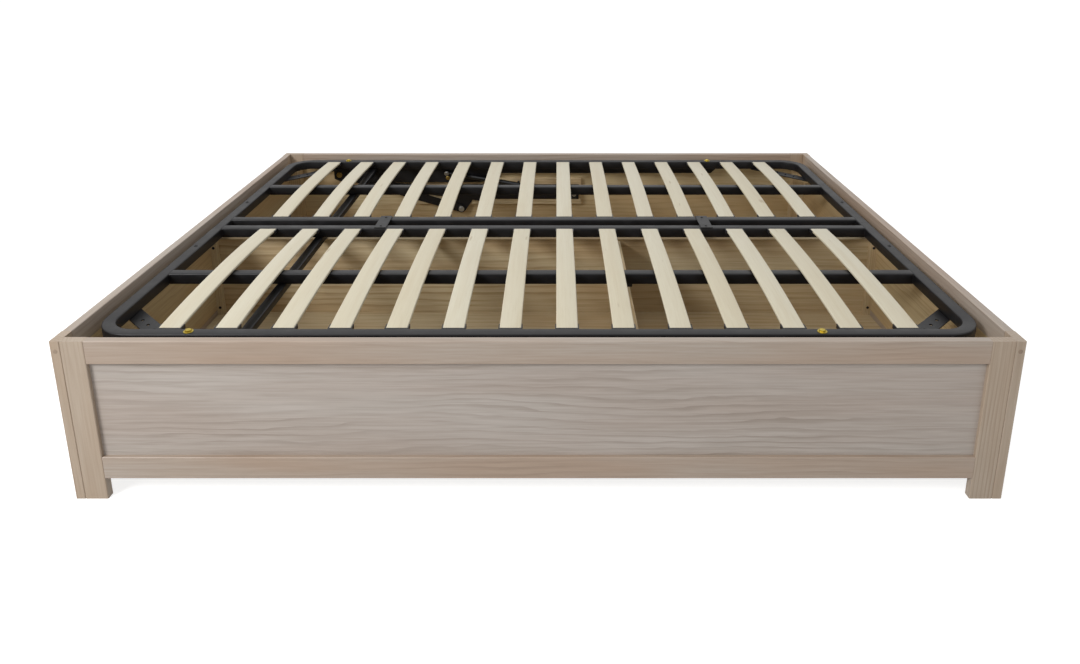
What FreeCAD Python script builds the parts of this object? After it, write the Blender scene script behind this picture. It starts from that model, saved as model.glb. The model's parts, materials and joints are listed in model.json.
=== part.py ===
import FreeCAD, Part
import os
import re
import sys
import Sketcher
from FreeCAD import Placement, Rotation, Vector

# Storage bed base: a panelled pine box with a lift-up steel slat frame.
# X runs along the bed from the head end (-X) to the foot end (+X), Y across it,
# Z up. The origin is on the floor under the middle of the box. Millimetres.

SIZES = {
    # pine box
    "box_length": 2120, "box_width": 1650, "box_height": 396,
    "board": 22, "stile_width": 52, "rail_width": 55, "floor_gap": 53,
    "panel_thickness": 12, "rebate_depth": 8, "panel_play": 0.5,
    "tenon_thickness": 8, "tenon_length": 14, "tenon_shoulder": 8, "edge_ease": 1.5,
    "post_size": 45, "cleat": 20, "cleat_rise": 2, "joist_width": 60,
    "floor_thickness": 9, "floor_play": 1,
    "partition_thickness": 22, "partition_headroom": 22, "storage_headroom": 28,
    "divider_inset": 808, "divider_thickness": 9,
    # steel slat frame
    "end_gap": 23, "side_gap": 38, "frame_drop": 13,
    "tube": 30, "tube_wall": 1.5, "bend_radius": 90,
    "centre_gap": 50, "mid_rail_offset": 400,
    "sleeve_length": 440, "sleeve_play": 0.2,
    "bridge_spacing": 1000, "bridge_width": 36, "bridge_thickness": 3,
    "gusset_leg": 166, "gusset_width": 43, "gusset_thickness": 3, "gusset_lap": 4.5,
    "gusset_hole": 4.5, "gusset_hole_far": 37,
    "tie_width": 25, "tie_height": 20, "tie_wall": 1.5, "tie_lap": 4.5,
    "tie_head_inset": 325, "tie_middle_inset": 665,
    # sprung slats and their holders
    "slat_width": 50, "slat_thickness": 8, "slat_crown": 10,
    "slat_pitch": 129.5, "slats_per_row": 14,
    "cap_floor": 3, "cap_back": 4, "cap_reach": 25, "cap_side": 2, "cap_lip": 6, "cap_play": 0.3,
    # lift mechanism
    "plate": 4, "link_gap": 2, "link_width": 32, "pin_radius": 6, "pin_play": 0.05,
    "pin_head": 10, "head_thickness": 3, "stub_gap": 0.3,
    "lift_pin_inset": 181, "lift_pin_drop": 32,
    "long_link_run": 486, "long_link_drop": 146,
    "short_pin_run": 115, "short_pin_drop": 36,
    "short_link_run": 460, "short_link_drop": 60,
    "strut_pin_run": 434, "strut_pin_rise": 12, "strut_run": 510, "strut_drop": 88,
    "strut_gap": 2.5, "strut_radius": 10, "strut_bore": 8, "strut_end": 25,
    "strut_body": 330, "rod_radius": 4, "rod_play": 0.05, "piston_length": 12,
    "piston_depth": 160, "eye_radius": 9, "eye_thickness": 10,
    "base_plate_run": 530, "base_plate_height": 61, "base_plate_tail": 20,
    "mount_board_height": 105, "mount_board_overhang": 130, "mount_board_margin": 10,
    "bracket_overhang": 20, "bracket_run": 659, "bracket_height": 62, "bracket_flange": 25,
    "bracket_reach": 1526, "bracket_strip": 24, "bracket_slope": 70,
}

# Sizes that follow from the ones above.
DERIVED = {
    "inner_length": "(box_length - 2 * board)",
    "inner_width": "(box_width - 2 * board)",
    "frame_length": "(inner_length - 2 * end_gap)",
    "frame_width": "(inner_width - 2 * side_gap)",
    "frame_top": "(box_height - frame_drop)",
    "frame_under": "(frame_top - tube)",
    "floor_under": "(floor_gap + cleat_rise + cleat)",
    "floor_top": "(floor_under + floor_thickness)",
    "storage_top": "(frame_under - storage_headroom)",
    "rail_low": "(floor_gap + rail_width)",
    "rail_high": "(box_height - rail_width)",
    "slat_span": "(frame_width / 2 - tube - centre_gap / 2 - tube)",
    "slat_length": "(slat_span - 2 * cap_back - 2 * cap_play)",
    "slat_under": "(frame_top - slat_thickness)",
    "row_middle": "(centre_gap / 2 + tube + slat_span / 2)",
    "crown_radius": "((slat_length * slat_length / 4 + slat_crown * slat_crown) / (2 * slat_crown))",
    "lift_pin_x": "(lift_pin_inset - frame_length / 2)",
    "lift_pin_z": "(frame_under - lift_pin_drop)",
    "base_pin_x": "(lift_pin_x + long_link_run)",
    "base_pin_z": "(lift_pin_z - long_link_drop)",
    "short_pin_x": "(lift_pin_x + short_pin_run)",
    "short_pin_z": "(lift_pin_z - short_pin_drop)",
    "short_base_x": "(short_pin_x + short_link_run)",
    "short_base_z": "(short_pin_z - short_link_drop)",
    "strut_pin_x": "(lift_pin_x + strut_pin_run)",
    "strut_pin_z": "(lift_pin_z + strut_pin_rise)",
    "strut_base_x": "(strut_pin_x + strut_run)",
    "strut_base_z": "(strut_pin_z - strut_drop)",
    "strut_length": "(sqrt(strut_run * strut_run + strut_drop * strut_drop))",
    # layers of the mechanism, from the frame out to the wall
    "bracket_y": "(frame_width / 2 - plate)",
    "short_link_y": "(frame_width / 2 + link_gap)",
    "long_link_y": "(short_link_y + plate + link_gap)",
    "base_plate_y": "(long_link_y + plate + link_gap)",
    "mount_board_y": "(base_plate_y + plate)",
    "strut_y": "(bracket_y - strut_gap - strut_radius)",
}

doc = FreeCAD.newDocument("StorageBed")
sheet = doc.addObject("Spreadsheet::Sheet", "sizes")
for row, (name, number) in enumerate(SIZES.items(), start=1):
    sheet.set(f"A{row}", name)
    sheet.set(f"B{row}", str(number))
    sheet.setAlias(f"B{row}", name)
doc.recompute()


def formula(text):
    """Writes an expression in the sheet's terms, with derived sizes spelt out."""
    def spell(match):
        word = match.group(0)
        if word in DERIVED:
            return formula(DERIVED[word])
        return f"sizes.{word}" if word in SIZES else word
    return re.sub(r"[a-z_]+", spell, str(text))


def value(text):
    """The present value of an expression, as a plain number."""
    found = sheet.evalExpression(formula(text))
    return float(getattr(found, "Value", found))


def bind(thing, prop, text):
    thing.setExpression(prop, formula(text))


def place(thing, x=0, y=0, z=0):
    for axis, text in zip("xyz", (x, y, z)):
        bind(thing, f"Placement.Base.{axis}", text)
    return thing


def turn(thing, axis, angle):
    thing.Placement = Placement(thing.Placement.Base, Rotation(Vector(*axis), 1))
    bind(thing, "Placement.Rotation.Angle", angle)
    return thing


def box(length, width, height, x=0, y=0, z=0):
    """A block with its lowest corner at x, y, z."""
    block = doc.addObject("Part::Box", "Block")
    for prop, text in zip(("Length", "Width", "Height"), (length, width, height)):
        bind(block, prop, text)
    return place(block, x, y, z)


def rod(radius, length, x=0, y=0, z=0, along="z"):
    """A round bar that starts at x, y, z and runs along one axis."""
    bar = doc.addObject("Part::Cylinder", "Bar")
    bind(bar, "Radius", radius)
    bind(bar, "Height", length)
    if along == "x":
        bar.Placement = Placement(Vector(), Rotation(Vector(0, 1, 0), 90))
    if along == "y":
        bar.Placement = Placement(Vector(), Rotation(Vector(1, 0, 0), -90))
    return place(bar, x, y, z)


def fuse(*things):
    joined = doc.addObject("Part::MultiFuse", "Joined")
    joined.Shapes = list(things)
    joined.Refine = True
    return joined


def cut(base, *tools):
    tool = tools[0] if len(tools) == 1 else fuse(*tools)
    left = doc.addObject("Part::Cut", "Trimmed")
    left.Base = base
    left.Tool = tool
    return left


def group(*things):
    """Several separate solids that share one node."""
    together = doc.addObject("Part::Compound", "Group")
    together.Links = list(things)
    return together


def origin_plane(body, role):
    return next(f for f in body.Origin.OriginFeatures if f.Role == role)


def outline(body, role, corners):
    """A closed polygon sketch whose corners are bound to expressions."""
    sketch = body.newObject("Sketcher::SketchObject", "Outline")
    sketch.AttachmentSupport = [(origin_plane(body, role), "")]
    sketch.MapMode = "FlatFace"
    spots = [Vector(value(u), value(v), 0) for u, v in corners]
    count = len(spots)
    for i, spot in enumerate(spots):
        sketch.addGeometry(Part.LineSegment(spot, spots[(i + 1) % count]), False)
    for i, (u, v) in enumerate(corners):
        sketch.addConstraint(Sketcher.Constraint("Coincident", i, 2, (i + 1) % count, 1))
        for kind, text, number in (("DistanceX", u, spots[i].x), ("DistanceY", v, spots[i].y)):
            index = sketch.addConstraint(Sketcher.Constraint(kind, -1, 1, i, 1, number))
            bind(sketch, f"Constraints[{index}]", text)
    return sketch


def rectangle(body, role, u_low, u_high, v_low, v_high):
    return outline(body, role, [(u_low, v_low), (u_high, v_low), (u_high, v_high), (u_low, v_high)])


def pad(body, sketch, length, both_ways=False, offset=None):
    feature = body.newObject("PartDesign::Pad", "Pad")
    feature.Profile = sketch
    bind(feature, "Length", length)
    feature.Midplane = both_ways
    if offset is not None:
        bind(sketch, "AttachmentOffset.Base.z", offset)
    return feature


def pocket(body, sketch, depth, start, upwards=True):
    """Cuts a sketch on the XY plane upwards from a height."""
    feature = body.newObject("PartDesign::Pocket", "Pocket")
    feature.Profile = sketch
    bind(sketch, "AttachmentOffset.Base.z", start)
    bind(feature, "Length", depth)
    feature.Reversed = upwards
    return feature


nodes = []


def node(thing, name):
    thing.Label = name
    nodes.append(thing)
    return thing


# ---------------------------------------------------------------- pine panels
# Each side of the box is a frame-and-panel board. It is drawn with its outer
# face at y = 0, its length along x, and then turned to its side of the box.

def stile(length, side):
    """An upright that reaches the floor, with mortises and a rebate inside."""
    body = doc.addObject("PartDesign::Body", "Stile")
    edge, inside = (f"{side} * ({text})" for text in (f"{length} / 2", f"({length} / 2 - stile_width)"))
    outer = f"{edge} - {side} * edge_ease"
    inner = f"{inside} + {side} * edge_ease"
    pad(body, outline(body, "XY_Plane", [
        (inner, 0), (outer, 0), (edge, "edge_ease"), (edge, "board - edge_ease"),
        (outer, "board"), (inner, "board"), (inside, "board - edge_ease"), (inside, "edge_ease"),
    ]), "box_height")
    rebate_end = f"{inside} + {side} * rebate_depth"
    mouth = f"{inside} - {side}"
    pocket(body, rectangle(body, "XY_Plane", mouth, rebate_end, "board - panel_thickness", "board + 1"),
           "rail_high - rail_low + 2 * rebate_depth", "rail_low - rebate_depth")
    mortise_end = f"{inside} + {side} * tenon_length"
    for low in ("floor_gap + tenon_shoulder", "rail_high + tenon_shoulder"):
        pocket(body, rectangle(body, "XY_Plane", mouth, mortise_end,
                               "(board - tenon_thickness) / 2", "(board + tenon_thickness) / 2"),
               "rail_width - 2 * tenon_shoulder", low)
    return body


def rail(length, low, rebate_up):
    """A cross rail with stub tenons and a rebate for the panel's edge."""
    body = doc.addObject("PartDesign::Body", "Rail")
    def across(text):
        return f"{low} + ({text})" if rebate_up else f"{low} + rail_width - ({text})"
    section = [
        ("edge_ease", 0), ("board - edge_ease", 0), ("board", "edge_ease"),
        ("board", "rail_width - rebate_depth"), ("board - panel_thickness", "rail_width - rebate_depth"),
        ("board - panel_thickness", "rail_width"), ("edge_ease", "rail_width"),
        (0, "rail_width - edge_ease"), (0, "edge_ease"),
    ]
    clear = f"({length} - 2 * stile_width)"
    pad(body, outline(body, "YZ_Plane", [(u, across(v)) for u, v in section]), clear, both_ways=True)
    tenon = rectangle(body, "YZ_Plane", "(board - tenon_thickness) / 2", "(board + tenon_thickness) / 2",
                      across("tenon_shoulder"), across("rail_width - tenon_shoulder"))
    pad(body, tenon, f"{clear} + 2 * (tenon_length - panel_play)", both_ways=True)
    return body


def field_panel(length):
    body = doc.addObject("PartDesign::Body", "Field")
    section = rectangle(body, "YZ_Plane", "board - panel_thickness", "board",
                        "rail_low - rebate_depth + panel_play", "rail_high + rebate_depth - panel_play")
    pad(body, section, f"{length} - 2 * stile_width + 2 * (rebate_depth - panel_play)", both_ways=True)
    return body


PANELS = (
    # name, length, where its outer face stands, and its turn about Z
    ("front", "inner_length", "0", "-box_width / 2", 0),
    ("back", "inner_length", "0", "box_width / 2", 180),
    ("foot", "box_width", "box_length / 2", "0", 90),
    ("head", "box_width", "-box_length / 2", "0", 270),
)
for side_name, length, x, y, angle in PANELS:
    pieces = {
        "stile_left": stile(length, -1),
        "stile_right": stile(length, 1),
        "bottom_rail": rail(length, "floor_gap", True),
        "top_rail": rail(length, "rail_high", False),
        "field_panel": field_panel(length),
    }
    for piece_name, piece in pieces.items():
        piece.Placement = Placement(Vector(), Rotation(Vector(0, 0, 1), angle))
        node(place(piece, x, y, 0), f"{side_name}_{piece_name}")

# ------------------------------------------------- inside of the storage box
CORNERS = ((-1, -1), (1, -1), (1, 1), (-1, 1))


def corner_block(sx, sy, size, low, high):
    """A square block in one inner corner of the box."""
    x = f"{sx} * (inner_length / 2 - {size} / 2) - {size} / 2"
    y = f"{sy} * (inner_width / 2 - {size} / 2) - {size} / 2"
    return box(size, size, f"{high} - {low}", x, y, low)


node(group(*(corner_block(sx, sy, "post_size", "floor_gap", "frame_under") for sx, sy in CORNERS)),
     "corner_posts")

long_cleat = "(inner_length - 2 * post_size)"
cross_cleat = "(inner_width - 2 * post_size)"
cleat_low = "(floor_gap + cleat_rise)"
node(group(
    box(long_cleat, "cleat", "cleat", f"-{long_cleat} / 2", "-inner_width / 2", cleat_low),
    box(long_cleat, "cleat", "cleat", f"-{long_cleat} / 2", "inner_width / 2 - cleat", cleat_low),
    box("cleat", cross_cleat, "cleat", "-inner_length / 2", f"-{cross_cleat} / 2", cleat_low),
    box("cleat", cross_cleat, "cleat", "inner_length / 2 - cleat", f"-{cross_cleat} / 2", cleat_low),
), "floor_cleats")
node(box("inner_length - 2 * cleat", "joist_width", "cleat",
         "cleat - inner_length / 2", "-joist_width / 2", cleat_low), "floor_joist")

for side_name, low_y, sy in (("front", "floor_play - inner_width / 2", -1), ("back", "floor_play / 2", 1)):
    sheet_of_ply = box("inner_length - 2 * floor_play", "inner_width / 2 - 1.5 * floor_play",
                       "floor_thickness", "floor_play - inner_length / 2", low_y, "floor_under")
    notches = [corner_block(sx, sy, "(post_size + floor_play)", "floor_under", "floor_top") for sx in (-1, 1)]
    node(cut(sheet_of_ply, *notches), f"floor_{side_name}")

node(box("inner_length", "partition_thickness", "frame_under - partition_headroom - floor_top",
         "-inner_length / 2", "-partition_thickness / 2", "floor_top"), "centre_partition")
battens = [box("cleat", "cleat", "frame_under - partition_headroom - floor_top",
               f"{sx} * (inner_length - cleat) / 2 - cleat / 2",
               f"{sy} * (partition_thickness + cleat) / 2 - cleat / 2", "floor_top")
           for sx, sy in CORNERS]
node(group(*battens), "partition_battens")
node(box("divider_thickness", "(inner_width - partition_thickness) / 2", "storage_top - floor_top",
         "inner_length / 2 - divider_inset", "-inner_width / 2", "floor_top"), "cross_divider")


# ---------------------------------------------------------- steel slat frame
def rounded_block(reach, depth, mouth, low, height, radius):
    """A slab from x = -reach to reach whose two corners at y = -depth are round."""
    body = doc.addObject("PartDesign::Body", "Slab")
    pad(body, rectangle(body, "XY_Plane", f"-{reach}", reach, f"-{depth}", mouth), height, offset=low)
    doc.recompute()
    slab = body.Tip
    corners = []
    for number, edge in enumerate(slab.Shape.Edges, start=1):
        upright = edge.BoundBox.ZLength > edge.BoundBox.DiagonalLength - 1e-6
        if upright and abs(edge.CenterOfMass.y + value(depth)) < 1e-3:
            corners.append(f"Edge{number}")
    bend = body.newObject("PartDesign::Fillet", "Bend")
    bend.Base = (slab, corners)
    bind(bend, "Radius", radius)
    return body


def bent_bar(inset):
    """Half of the frame's outline: a U of square bar with two round bends."""
    outside = rounded_block(f"(frame_length / 2 - {inset})", f"(frame_width / 2 - {inset})", 0,
                            f"frame_under + {inset}", f"tube - 2 * {inset}", f"bend_radius - {inset}")
    window = rounded_block(f"(frame_length / 2 - tube + {inset})", f"(frame_width / 2 - tube + {inset})", 1,
                           "frame_under - 1", "tube + 2", f"bend_radius - tube + {inset}")
    return cut(outside, window)


def square_tube(length, width, height, wall, x, y, z, along):
    """A straight hollow steel tube that starts at x, y, z."""
    if along == "x":
        outer = box(length, width, height, x, y, z)
        inner = box(f"{length} + 2", f"{width} - 2 * {wall}", f"{height} - 2 * {wall}",
                    f"{x} - 1", f"{y} + {wall}", f"{z} + {wall}")
    else:
        outer = box(width, length, height, x, y, z)
        inner = box(f"{width} - 2 * {wall}", f"{length} + 2", f"{height} - 2 * {wall}",
                    f"{x} + {wall}", f"{y} - 1", f"{z} + {wall}")
    return cut(outer, inner)


for side_name, angle in (("front", 0), ("back", 180)):
    half = cut(bent_bar("0"), bent_bar("tube_wall"))
    half.Placement = Placement(Vector(), Rotation(Vector(0, 0, 1), angle))
    node(half, f"frame_tube_{side_name}")

sleeve = "(tube - 2 * tube_wall - 2 * sleeve_play)"
node(group(*(
    square_tube("sleeve_length", sleeve, sleeve, "tube_wall",
                f"{sx} * (frame_length / 2 - tube / 2) - {sleeve} / 2", "-sleeve_length / 2",
                f"frame_under + tube / 2 - {sleeve} / 2", "y") for sx in (-1, 1)
)), "splice_sleeves")

clear_length = "(frame_length - 2 * tube)"
for rail_name, low_y in (
    ("centre_rail_front", "-centre_gap / 2 - tube"),
    ("centre_rail_back", "centre_gap / 2"),
    ("mid_rail_front", "-mid_rail_offset - tube / 2"),
    ("mid_rail_back", "mid_rail_offset - tube / 2"),
):
    node(square_tube(clear_length, "tube", "tube", "tube_wall",
                     f"-{clear_length} / 2", low_y, "frame_under", "x"), rail_name)

bridges = []
for sx in (-1, 1):
    strap = box("bridge_width", "centre_gap + 2 * tube", "bridge_thickness",
                f"{sx} * bridge_spacing / 2 - bridge_width / 2", "-centre_gap / 2 - tube", "frame_top")
    bridges.append(strap)
node(group(*bridges), "bridge_plates")


def gusset(sx, sy):
    """A diagonal strap under one corner of the frame, with a hole near each end."""
    body = doc.addObject("PartDesign::Body", "Gusset")
    x = "(frame_length / 2 - tube)"
    y = "(frame_width / 2 - tube)"
    far = "(gusset_leg + gusset_lap)"
    near = "(gusset_leg + gusset_lap - gusset_width * sqrt(2))"
    spots = [(f"{x} - {far}", f"{y} + gusset_lap"), (f"{x} - {near}", f"{y} + gusset_lap"),
             (f"{x} + gusset_lap", f"{y} - {near}"), (f"{x} + gusset_lap", f"{y} - {far}")]
    pad(body, outline(body, "XY_Plane", [(f"{sx} * ({u})", f"{sy} * ({v})") for u, v in spots]),
        "gusset_thickness", offset="frame_under - gusset_thickness")
    middle = "(gusset_leg / 2 - gusset_width * sqrt(2) / 4)"
    shifts = ("-gusset_hole_far", "gusset_hole_far")
    holes = [rod("gusset_hole", "3 * gusset_thickness", f"{sx} * ({x} - {middle} + {shift})",
                 f"{sy} * ({y} - {middle} - ({shift}))", "frame_under - 2 * gusset_thickness")
             for shift in shifts]
    return cut(body, *holes)


node(group(*(gusset(sx, sy) for sx, sy in CORNERS)), "corner_gussets")

tie_reach = "(frame_width / 2 - tube + tie_lap)"
for tie_name, inset in (("tie_bar_head", "tie_head_inset"), ("tie_bar_middle", "tie_middle_inset")):
    node(square_tube(f"2 * {tie_reach}", "tie_width", "tie_height", "tie_wall",
                     f"{inset} - frame_length / 2 - tie_width / 2", f"-{tie_reach}",
                     "frame_under - tie_height", "y"), tie_name)


# ------------------------------------------------------ slats and slat holders
def slat_row(sy):
    """A row of beech slats, each bent up to a crown, repeated along the bed."""
    body = doc.addObject("PartDesign::Body", "Slats")
    body.AllowCompound = True
    sketch = body.newObject("Sketcher::SketchObject", "Crown")
    sketch.AttachmentSupport = [(origin_plane(body, "YZ_Plane"), "")]
    sketch.MapMode = "FlatFace"
    near = f"{sy} * row_middle - slat_length / 2"
    far = f"{sy} * row_middle + slat_length / 2"
    ends = [(near, "slat_under"), (far, "slat_under"), (near, "frame_top"), (far, "frame_top")]
    low_near, low_far, high_near, high_far = (Vector(value(u), value(v), 0) for u, v in ends)
    rise = Vector(0, value("slat_crown"), 0)
    low_arc = Part.Arc(low_far, (low_near + low_far) * 0.5 + rise, low_near)
    high_arc = Part.Arc(high_far, (high_near + high_far) * 0.5 + rise, high_near)
    sketch.addGeometry([low_arc, high_arc, Part.LineSegment(low_near, high_near),
                        Part.LineSegment(low_far, high_far)], False)
    for first, second in (((0, 2), (2, 1)), ((1, 2), (2, 2)), ((0, 1), (3, 1)), ((1, 1), (3, 2))):
        sketch.addConstraint(Sketcher.Constraint("Coincident", *first, *second))
    for (geometry, end), (u, v) in zip(((2, 1), (3, 1), (2, 2), (3, 2)), ends):
        for kind, text in (("DistanceX", u), ("DistanceY", v)):
            index = sketch.addConstraint(Sketcher.Constraint(kind, -1, 1, geometry, end, value(text)))
            bind(sketch, f"Constraints[{index}]", text)
    for arc in (0, 1):
        index = sketch.addConstraint(Sketcher.Constraint("Radius", arc, value("crown_radius")))
        bind(sketch, f"Constraints[{index}]", "crown_radius")
    pad(body, sketch, "slat_width", offset="-slat_pitch * (slats_per_row - 1) / 2 - slat_width / 2")
    doc.recompute()
    pattern = body.newObject("PartDesign::LinearPattern", "Row")
    pattern.Originals = [body.Tip if body.Tip != pattern else pattern.BaseFeature]
    pattern.Direction = (origin_plane(body, "X_Axis"), [""])
    bind(pattern, "Length", "slat_pitch * (slats_per_row - 1)")
    bind(pattern, "Occurrences", "slats_per_row")
    body.Tip = pattern
    return body


def slat_holders(sy):
    """Open plastic saddles on the rails, one under each end of each slat."""
    holders = []
    width = "(slat_width + 2 * cap_play + 2 * cap_side)"
    for number in range(int(value("slats_per_row"))):
        x = f"slat_pitch * ({number} - (slats_per_row - 1) / 2)"
        for end in (-1, 1):
            wall = f"({sy} * row_middle + {end} * slat_span / 2)"
            low_y = wall if end < 0 else f"{wall} - cap_reach"
            slot_y = f"{low_y} + cap_back" if end < 0 else f"{low_y} - 1"
            shell = box(width, "cap_reach", "cap_floor + cap_lip + edge_ease",
                        f"{x} - {width} / 2", low_y, "slat_under - cap_floor")
            slot = box("slat_width + 2 * cap_play", "cap_reach - cap_back + 1", "cap_lip + 2 * edge_ease",
                       f"{x} - slat_width / 2 - cap_play", slot_y, "slat_under")
            holders.append(cut(shell, slot))
    return group(*holders)


for side_name, sy in (("front", -1), ("back", 1)):
    node(slat_row(sy), f"slats_{side_name}_row")
    node(slat_holders(sy), f"slat_holders_{side_name}_row")


# ------------------------------------------------------------- lift mechanism
def link(run, drop, pin_x, pin_z, layer, sy):
    """A flat bar with round ends and a pin hole at each, set at its slope."""
    length = f"sqrt({run} * {run} + {drop} * {drop})"
    bar = fuse(box(length, "plate", "link_width", f"-({length})", 0, "-link_width / 2"),
               rod("link_width / 2", "plate", along="y"),
               rod("link_width / 2", "plate", f"-({length})", along="y"))
    holes = [rod("pin_radius + pin_play", "plate + 2", x, -1, along="y") for x in (0, f"-({length})")]
    low_y = layer if sy > 0 else f"-({layer}) - plate"
    return bar, holes, low_y, (f"atan({drop} / {run})", pin_x, pin_z)


def set_link(thing, low_y, pose):
    angle, pin_x, pin_z = pose
    return place(turn(thing, (0, 1, 0), angle), pin_x, low_y, pin_z)


def pin(x, z, start, length, head_at_end, sy):
    """A headed pivot pin that runs outward or inward from a plate."""
    shank = rod("pin_radius", length, x, start if sy > 0 else f"-({start}) - ({length})", z, along="y")
    head_y = f"{start} + {length}" if head_at_end else f"{start} - head_thickness"
    head_y = head_y if sy > 0 else f"-({head_y}) - head_thickness"
    return fuse(shank, rod("pin_head", "head_thickness", x, head_y, z, along="y"))


def layer_low(layer, thickness, sy):
    return layer if sy > 0 else f"-({layer}) - ({thickness})"


def upright_plate(corners, layer, thickness, sy):
    """A flat plate that stands along the bed, from its outline in X and Z."""
    body = doc.addObject("PartDesign::Body", "Plate")
    pad(body, outline(body, "XZ_Plane", corners), thickness, both_ways=True)
    return place(body, 0, f"{sy} * ({layer} + {thickness} / 2)", 0)


for side_name, sy in (("front", -1), ("back", 1)):
    plate_right = "(strut_base_x + base_plate_tail)"
    plate_left = f"({plate_right} - base_plate_run)"
    plate_low = "(strut_base_z - base_plate_height / 2)"
    plate_high = "(strut_base_z + base_plate_height / 2)"
    node(box("base_plate_run + mount_board_overhang + mount_board_margin",
             "inner_width / 2 - mount_board_y", "mount_board_height",
             f"{plate_left} - mount_board_overhang",
             layer_low("mount_board_y", "inner_width / 2 - mount_board_y", sy),
             "strut_base_z - mount_board_height / 2"), f"mounting_board_{side_name}")

    lug = "link_width / 2"
    base = upright_plate([
        (plate_left, plate_high), (f"{plate_left}", plate_low),
        (f"base_pin_x - {lug}", f"base_pin_z - {lug} / 2"), (f"base_pin_x - {lug} / 2", f"base_pin_z - {lug}"),
        (f"base_pin_x + {lug} / 2", f"base_pin_z - {lug}"), (f"base_pin_x + {lug}", f"base_pin_z - {lug} / 2"),
        (f"base_pin_x + 3 * {lug}", plate_low), (plate_right, plate_low), (plate_right, plate_high),
    ], "base_plate_y", "plate", sy)
    base_pins = [
        pin("base_pin_x", "base_pin_z", "long_link_y - link_gap / 4", "plate + 1.25 * link_gap", False, sy),
        pin("short_base_x", "short_base_z", "short_link_y - link_gap / 4",
            "2 * plate + 2.25 * link_gap", False, sy),
    ]
    node(fuse(base, *base_pins), f"base_plate_{side_name}")

    bar, holes, low_y, pose = link("long_link_run", "long_link_drop", "base_pin_x", "base_pin_z",
                                   "long_link_y", sy)
    node(set_link(cut(bar, *holes), low_y, pose), f"long_link_{side_name}")

    bar, holes, low_y, pose = link("short_link_run", "short_link_drop", "short_base_x", "short_base_z",
                                   "short_link_y", sy)
    slope_length = "sqrt(short_link_run * short_link_run + short_link_drop * short_link_drop)"
    stub = rod("pin_radius", "plate + link_gap - stub_gap", f"-({slope_length})",
               "stub_gap - link_gap" if sy > 0 else 0, along="y")
    short_link = fuse(cut(bar, holes[0]), stub)
    node(set_link(short_link, low_y, pose), f"short_link_{side_name}")

    left = "(lift_pin_x - bracket_overhang)"
    right = "(lift_pin_x - bracket_overhang + bracket_reach)"
    deep = "(lift_pin_x - bracket_overhang + bracket_run)"
    under = "(frame_under - bracket_height)"
    strip = "(frame_under - bracket_strip)"
    web = upright_plate([
        (left, "frame_under"), (left, "lift_pin_z - link_width / 2"),
        ("lift_pin_x", f"{under} + plate"), ("short_pin_x", under), (f"{deep} - bracket_slope", under),
        (deep, strip), (f"{right} - bracket_strip / 2", strip),
        (right, f"{strip} + bracket_strip / 2"), (right, "frame_under"),
    ], "bracket_y", "plate", sy)
    flange = box("bracket_reach", "bracket_flange", "plate", left,
                 layer_low("frame_width / 2 - bracket_flange", "bracket_flange", sy), "frame_under - plate")
    bracket = fuse(web, flange,
                   pin("lift_pin_x", "lift_pin_z", "bracket_y", "2 * plate + 2 * link_gap + plate + link_gap / 4",
                       True, sy),
                   pin("strut_pin_x", "strut_pin_z", "strut_y - eye_thickness / 2 - stub_gap",
                       "eye_thickness / 2 + strut_radius + strut_gap + stub_gap + plate", False, sy))
    node(bracket, f"lift_bracket_{side_name}")

    def on_strut(thing):
        slope = turn(thing, (0, 1, 0), "atan(strut_drop / strut_run)")
        return place(slope, "strut_pin_x", f"{sy} * strut_y", "strut_pin_z")

    shell = fuse(rod("strut_radius", "strut_body", "strut_end", along="x"),
                 box("strut_end + 1", "eye_thickness", "eye_radius", 0, "-eye_thickness / 2", "-eye_radius / 2"),
                 rod("eye_radius", "eye_thickness", 0, "-eye_thickness / 2", along="y"))
    bore = fuse(rod("strut_bore", "strut_body - 2 * strut_end", "2 * strut_end", along="x"),
                rod("rod_radius + rod_play", "strut_end + 2", "strut_end + strut_body - strut_end - 1", along="x"),
                rod("pin_radius + pin_play", "eye_thickness + 2", 0, "-eye_thickness / 2 - 1", along="y"))
    node(on_strut(cut(shell, bore)), f"strut_cylinder_{side_name}")

    piston_start = "(strut_end + strut_body - piston_depth)"
    eye_stub = "(base_plate_y - stub_gap - strut_y)"
    plunger = fuse(rod("rod_radius", f"strut_length - {piston_start}", piston_start, along="x"),
                   rod("strut_bore - rod_play", "piston_length", piston_start, along="x"),
                   rod("eye_radius", "eye_thickness", "strut_length", "-eye_thickness / 2", along="y"),
                   rod("pin_radius", eye_stub, "strut_length", 0 if sy > 0 else f"-{eye_stub}", along="y"))
    node(on_strut(plunger), f"strut_rod_{side_name}")

# ------------------------------------------------------------ check and write
doc.recompute()
faults = [thing.Label for thing in doc.Objects if {"Invalid", "Error"} & set(thing.State)]
for thing in nodes:
    if thing.Shape.isNull() or not thing.Shape.isValid() or not thing.Shape.Solids:
        faults.append(f"{thing.Label} has a bad shape")
if faults:
    print("failed:", faults)
    sys.exit(1)
os.makedirs("parts", exist_ok=True)
for thing in nodes:
    thing.Shape.exportStep(os.path.join("parts", f"{thing.Label}.step"))
print(len(nodes), "sub-parts written")
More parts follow.
